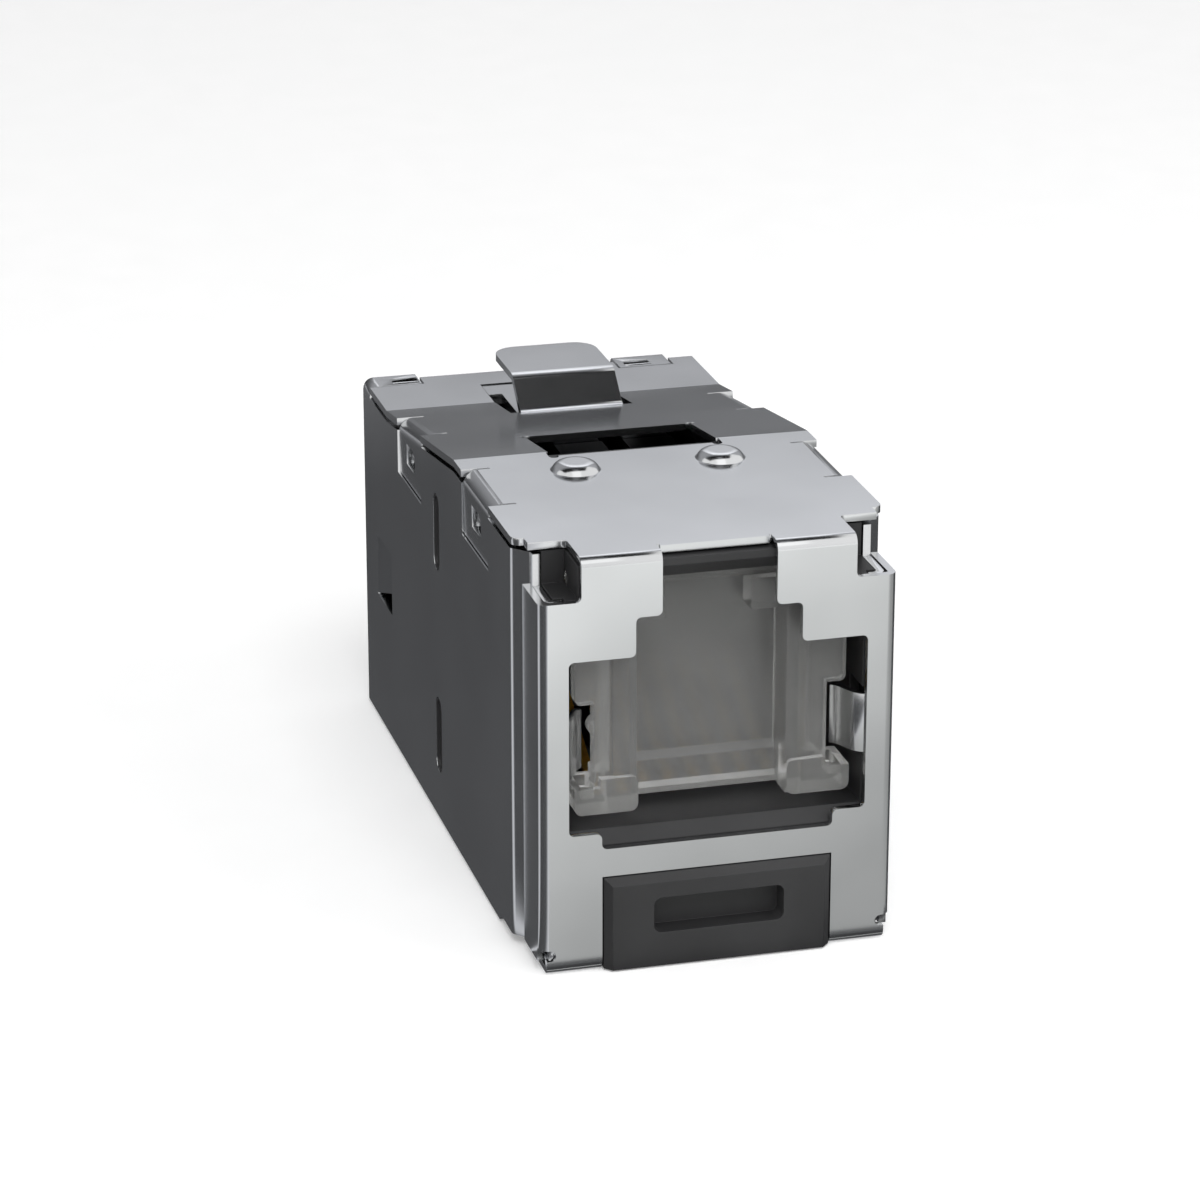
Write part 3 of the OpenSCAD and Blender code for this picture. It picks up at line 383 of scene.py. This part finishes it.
def breakEdges(nodeName, settings):
    piece = copyNode(nodeName, settings["piece"])
    bpy.ops.object.mode_set(mode="EDIT")
    bpy.ops.mesh.select_all(action="SELECT")
    bpy.ops.mesh.remove_doubles(threshold=shading["merge"] * mm)
    bpy.ops.mesh.dissolve_limited(angle_limit=math.radians(shading["level"]))
    bpy.ops.object.mode_set(mode="OBJECT")
    if "dimple" in settings:
        clearDimples(piece, settings["dimple"])
    bevel = piece.modifiers.new("brokenEdge", "BEVEL")
    bevel.width = settings["width"] * mm
    bevel.segments = settings["steps"]
    bevel.limit_method = "ANGLE"
    bevel.angle_limit = math.radians(settings["angle"])
    bevel.miter_outer = "MITER_ARC"
    bevel.face_strength_mode = "FSTR_ALL"
    bpy.ops.object.modifier_apply(modifier=bevel.name)
    bpy.ops.object.shade_smooth_by_angle(angle=math.radians(shading["smooth"]))
    even = piece.modifiers.new("flatFaces", "WEIGHTED_NORMAL")    # wide faces lead the shading
    even.mode = "FACE_AREA"
    even.weight = 50
    even.keep_sharp = True
    even.use_face_influence = True
    bpy.ops.object.modifier_apply(modifier=even.name)
    flattenPanels(piece, shading)
    if "dimple" in settings:
        domes = [pressDimple(place, settings["dimple"]) for place in settings["dimple"]["places"]]
        for part in (*domes, piece):
            part.select_set(True)
        bpy.context.view_layer.objects.active = piece
        bpy.ops.object.join()
    piece.data.materials.clear()
    piece.data.materials.append(finishes[settings["finish"]])
    piece.visible_shadow = "clear" not in settings      # clear resin lets the light into the socket
    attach(piece, settings["body"])
    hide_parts(nodeName)
    print("stage: edges broken on", piece.name, len(piece.data.polygons), "faces")


for nodeName, settings in brokenEdges.items():
    breakEdges(nodeName, settings)


# studio: pale floor, soft boxes, white world, and glowing boards that only reflections see, which paint
# light and shade into the reflections

studio = {
    "floor": ("#f6f6f6", "#f9f9f9"),
    "floorSize": 4000, "floorLevel": -0.02,    # mm
    "fibre": 3,                            # mm, size of the board's fibres
    "floorLift": 0.2,                      # added where the lens, shine or clear resin sees it
    "worldLight": 0.55,
}
softBoxes = {
    "keyBox": {"place": (-30, -190, 252), "size": 190, "power": 0.5},
    "fillBox": {"place": (190, -120, 140), "size": 180, "power": 0.18},
}
lampAim = (0, 0, 8)                        # mm, about the middle of the jack


def seenDirectly(tree):
    rays = addNode(tree, "ShaderNodeLightPath")
    first = addNode(tree, "ShaderNodeMath", {"operation": "MAXIMUM"})
    tree.links.new(rays.outputs["Is Camera Ray"], first.inputs[0])
    tree.links.new(rays.outputs["Is Glossy Ray"], first.inputs[1])
    second = addNode(tree, "ShaderNodeMath", {"operation": "MAXIMUM"})
    tree.links.new(first.outputs[0], second.inputs[0])
    tree.links.new(rays.outputs["Is Transmission Ray"], second.inputs[1])
    return second.outputs[0]


def makeFloor(settings):
    bpy.ops.object.select_all(action="DESELECT")
    bpy.ops.mesh.primitive_plane_add(size=settings["floorSize"] * mm,
                                     location=(0, 0, settings["floorLevel"] * mm))
    floor = bpy.context.object
    floor.name = "studioFloor"
    material, tree, shader = startMaterial("paleBoard")
    place = addNode(tree, "ShaderNodeTexCoord").outputs["Object"]
    fibre = addNode(tree, "ShaderNodeTexNoise",
                    {"Scale": 1 / (settings["fibre"] * mm), "Detail": 2.0}, Vector=place)
    tone = addNode(tree, "ShaderNodeValToRGB", Fac=fibre.outputs["Fac"])
    setColourRamp(tone, [(at, toLinear(colour)) for at, colour in zip((0.3, 0.7), settings["floor"])])
    tree.links.new(tone.outputs["Color"], shader.inputs["Base Color"])
    shader.inputs["Roughness"].default_value = 0.9
    shader.inputs["Specular IOR Level"].default_value = 0.1
    lift = addNode(tree, "ShaderNodeMath", {"operation": "MULTIPLY"})
    tree.links.new(seenDirectly(tree), lift.inputs[0])
    lift.inputs[1].default_value = settings["floorLift"]
    glow = addNode(tree, "ShaderNodeEmission", Strength=lift.outputs[0])
    both = addNode(tree, "ShaderNodeAddShader")
    tree.links.new(shader.outputs[0], both.inputs[0])
    tree.links.new(glow.outputs[0], both.inputs[1])
    tree.links.new(both.outputs[0], tree.nodes["Material Output"].inputs["Surface"])
    floor.data.materials.append(material)


def makeSoftBox(name, settings):
    data = bpy.data.lights.new(name, "AREA")
    data.shape = "SQUARE"
    data.size = settings["size"] * mm
    data.energy = settings["power"]
    lamp = bpy.data.objects.new(name, data)
    bpy.context.scene.collection.objects.link(lamp)
    lamp.location = Vector(settings["place"]) * mm
    aim = Vector(lampAim) * mm - lamp.location
    lamp.rotation_euler = aim.to_track_quat("-Z", "Y").to_euler()
    lamp.visible_glossy = False            # the shine sees the keyCard, a painted highlight in the lamp's place, or the white world instead


def makeWorld(settings):
    world = bpy.data.worlds.new("studio")
    bpy.context.scene.world = world
    world.use_nodes = True
    tree = world.node_tree
    soft = tree.nodes["Background"]
    soft.inputs["Color"].default_value = (1, 1, 1, 1)
    soft.inputs["Strength"].default_value = settings["worldLight"]
    white = addNode(tree, "ShaderNodeBackground", {"Color": (1, 1, 1, 1), "Strength": 1.0})
    mix = addNode(tree, "ShaderNodeMixShader")
    tree.links.new(seenDirectly(tree), mix.inputs[0])
    tree.links.new(soft.outputs[0], mix.inputs[1])
    tree.links.new(white.outputs[0], mix.inputs[2])
    tree.links.new(mix.outputs[0], tree.nodes["World Output"].inputs["Surface"])


# glowing grey boards and a white card that only reflections see: painted reflections, graded so that
# each face of the metal shows a set band of light or shade
# the tones run along a direction in mm, or round a corner in degrees
coolGrey = (0.97, 0.985, 1.03)
paintedReflectionBoards = {
    # darker towards the jack: painted shade, as if the floor near it lay in its shadow
    "frontBoard": {"middle": (153, -125, 0.05), "size": (320, 220), "turn": 0, "along": (0.6, 0.8, 0),
                   "tint": (0.985, 1, 0.99),
                   "tones": [(-200, 1.1), (-45, 1.1), (-39, 1.05), (-34, 0.8), (-29, 0.75), (-22, 0.64),
                             (-20, 0.59), (-13, 0.45), (0, 0.38)]},
    "cornerBoard": {"middle": (-167, -110, 0.06), "size": (320, 250), "turn": 0,
                    "round": (-7, -12.8, 0), "tint": coolGrey,
                    "tones": [(0, 0.9), (10, 0.5), (22, 0.1), (86, 0.07), (100, 0.7), (116, 0.7),
                              (132, 0.085), (180, 0.085)]},
    # a dark strip seen in reflections just before the plate: painted shade standing for the jack's
    # shadow where it meets the floor
    "paintedContactShade": {"middle": (1, -15.55, 0.07), "size": (17, 1), "turn": 0, "along": (0, 1, 0),
                     "tint": coolGrey, "tones": [(-16.05, 0.12), (-15.05, 0.04)]},
    # lies on the floor behind the jack, dark near it: painted shade in the reflections of its sides
    "sideBoard": {"middle": (0, 127.5, 0.05), "size": (640, 285), "turn": 0, "along": (0, 1, 0),
                  "tint": coolGrey,
                  "tones": [(-15, 0.085), (45, 0.08), (80, 0.2), (150, 0.6), (270, 0.8)]},
    "backBoard": {"middle": (50, 150, 150), "size": (110, 300), "turn": 90, "along": (0, 0, 1),
                  "tint": coolGrey,
                  "tones": [(0, 0.05), (24, 0.19), (34, 0.23), (46, 0.28), (60, 0.44), (70, 0.58),
                            (77, 0.87), (90, 0.92), (110, 0.95), (150, 1.3), (300, 1.5)]},
    "backLeftBoard": {"middle": (-165, 150, 150), "size": (320, 300), "turn": 90, "along": (0, 0, 1),
                      "tint": coolGrey,
                      "tones": [(0, 0.05), (24, 0.1), (60, 0.22), (77, 0.32), (110, 0.38), (300, 0.38)]},
    "backRightBoard": {"middle": (215, 150, 150), "size": (220, 300), "turn": 90, "along": (0, 0, 1),
                       "tint": coolGrey,
                       "tones": [(0, 0.05), (24, 0.14), (60, 0.3), (110, 0.45), (300, 0.5)]},
    "topBoard": {"middle": (-65, 52, 250), "size": (390, 245), "turn": 0, "along": (0, 1, 0),
                 "tint": coolGrey, "tones": [(-70, 0.012), (50, 0.012), (95, 0.25), (175, 0.5)]},
    # a glowing white card where the key lamp stands, seen only in reflections: a painted highlight in
    # the lamp's place
    "keyCard": {"middle": (-30, -190, 252), "size": (190, 190), "turn": 38, "along": (0, 0, 1),
                "tint": (1, 1, 1), "tones": [(150, 1.3), (350, 1.3)]},
    "overBoard": {"middle": (-8, -33, 248), "size": (60, 70), "turn": 0, "along": (0, 1, 0),
                  "tint": coolGrey, "tones": [(-68, 0.25), (2, 0.25)]},
}


# a board glows in graded tones and lights nothing: it is seen only in reflections, a painted reflection
def makePaintedReflectionBoard(name, settings):
    bpy.ops.object.select_all(action="DESELECT")
    bpy.ops.mesh.primitive_plane_add(size=1, rotation=(math.radians(settings["turn"]), 0, 0),
                                     location=Vector(settings["middle"]) * mm)
    board = bpy.context.object
    board.name = name
    board.scale = (settings["size"][0] * mm, settings["size"][1] * mm, 1)
    bpy.ops.object.transform_apply(location=True, rotation=True, scale=True)
    material, tree = startMaterial(name + "Paint")[:2]
    place = addNode(tree, "ShaderNodeTexCoord").outputs["Object"]
    if "round" in settings:
        unit = math.radians(1)
        spoke = addNode(tree, "ShaderNodeVectorMath", {"operation": "SUBTRACT"})
        spoke.inputs[0].default_value = Vector(settings["round"]) * mm
        tree.links.new(place, spoke.inputs[1])
        axes = addNode(tree, "ShaderNodeSeparateXYZ", Vector=spoke.outputs["Vector"])
        reach = addNode(tree, "ShaderNodeMath", {"operation": "ARCTAN2"})
        tree.links.new(axes.outputs["X"], reach.inputs[0])
        tree.links.new(axes.outputs["Y"], reach.inputs[1])
    else:
        unit = mm
        reach = addNode(tree, "ShaderNodeVectorMath", {"operation": "DOT_PRODUCT"})
        tree.links.new(place, reach.inputs[0])
        reach.inputs[1].default_value = settings["along"]
    first, last = settings["tones"][0][0], settings["tones"][-1][0]
    along = addNode(tree, "ShaderNodeMapRange", {"From Min": first * unit, "From Max": last * unit},
                    Value=reach.outputs["Value"])
    grade = addNode(tree, "ShaderNodeValToRGB", Fac=along.outputs["Result"])
    brightest = max(tone for at, tone in settings["tones"])
    stops = [((at - first) / (last - first), tone / brightest) for at, tone in settings["tones"]]
    setColourRamp(grade, [(at, (*[tone * c for c in settings["tint"]], 1)) for at, tone in stops])
    glow = addNode(tree, "ShaderNodeEmission", {"Strength": brightest}, Color=grade.outputs["Color"])
    tree.links.new(glow.outputs[0], tree.nodes["Material Output"].inputs["Surface"])
    board.data.materials.append(material)
    board.visible_camera = False
    board.visible_diffuse = False
    board.visible_shadow = False
    board.visible_transmission = False


for boardName, boardSettings in paintedReflectionBoards.items():
    makePaintedReflectionBoard(boardName, boardSettings)
makeFloor(studio)
for boxName, boxSettings in softBoxes.items():
    makeSoftBox(boxName, boxSettings)
makeWorld(studio)
scene = bpy.context.scene
scene.view_settings.view_transform = "Standard"
print("stage: studio lit")
